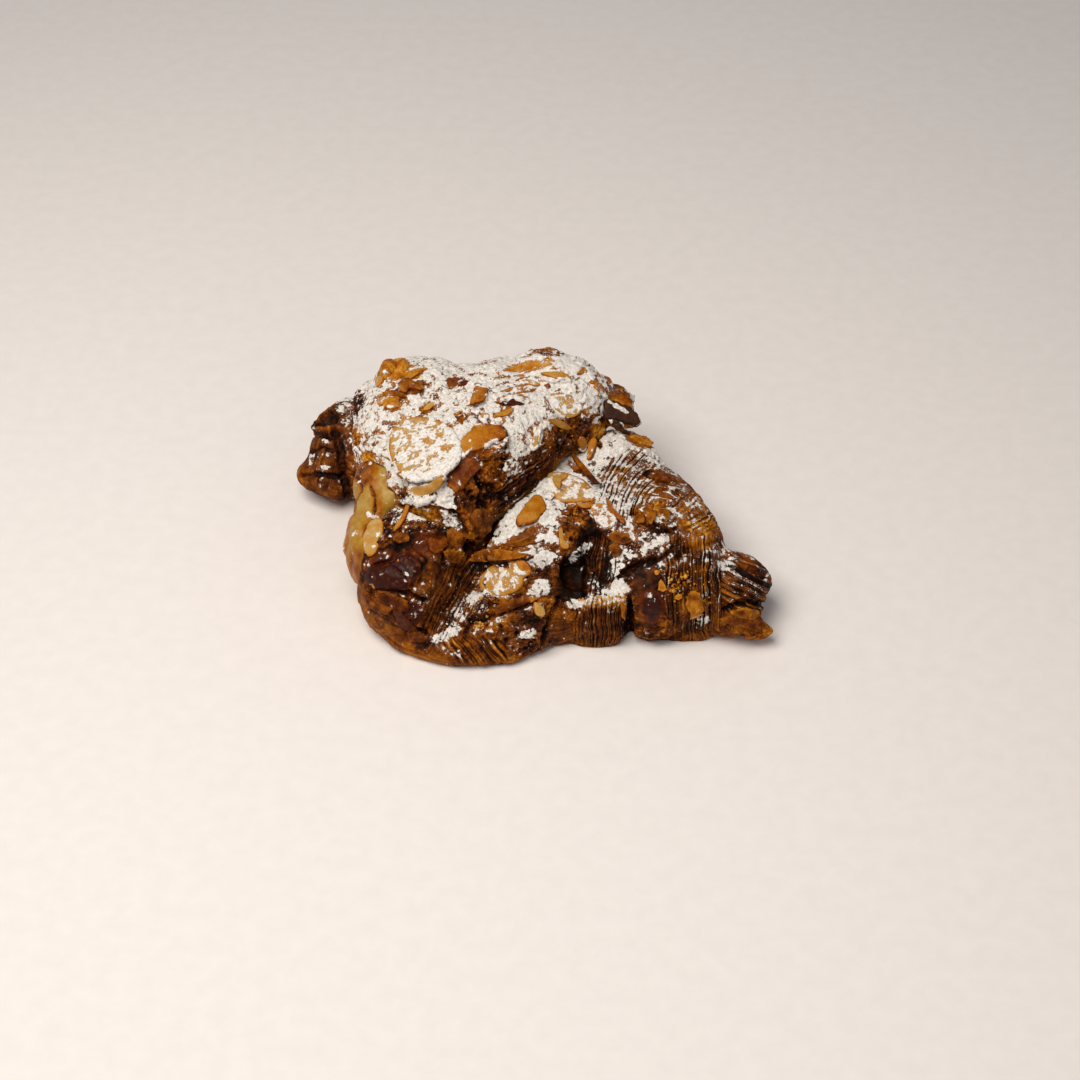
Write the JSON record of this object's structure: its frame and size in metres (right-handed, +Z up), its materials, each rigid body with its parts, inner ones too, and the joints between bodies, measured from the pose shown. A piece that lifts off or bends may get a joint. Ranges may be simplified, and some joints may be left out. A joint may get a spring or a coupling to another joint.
{
  "type": "almond croissant",
  "caption": "Twice-baked almond croissant: wide laminated base, almond cream layer and sugared lid, topped with sliced almonds.",
  "frame": {"origin": "middle of the bounding box on the tray's surface, where the flat underside rests", "axes": "+X from the left horn to the right horn, -Y towards the split front, +Z up"},
  "size_m": [0.1662, 0.1156, 0.0597],
  "materials": {
    "baked_crust": "flaky laminated crust, browned, dusted with icing sugar",
    "almond_cream": "moist baked almond cream, pale golden yellow, satin",
    "sugared_crust": "browned crust under a thick dusting of icing sugar",
    "sliced_almonds": "toasted sliced almonds with brown skin at the rim",
    "icing_sugar": "loose white powder and small clumps"
  },
  "bodies": {
    "root": {"croissant_base": "baked_crust", "almond_cream": "almond_cream", "croissant_lid": "sugared_crust"}
  },
  "joints": []
}
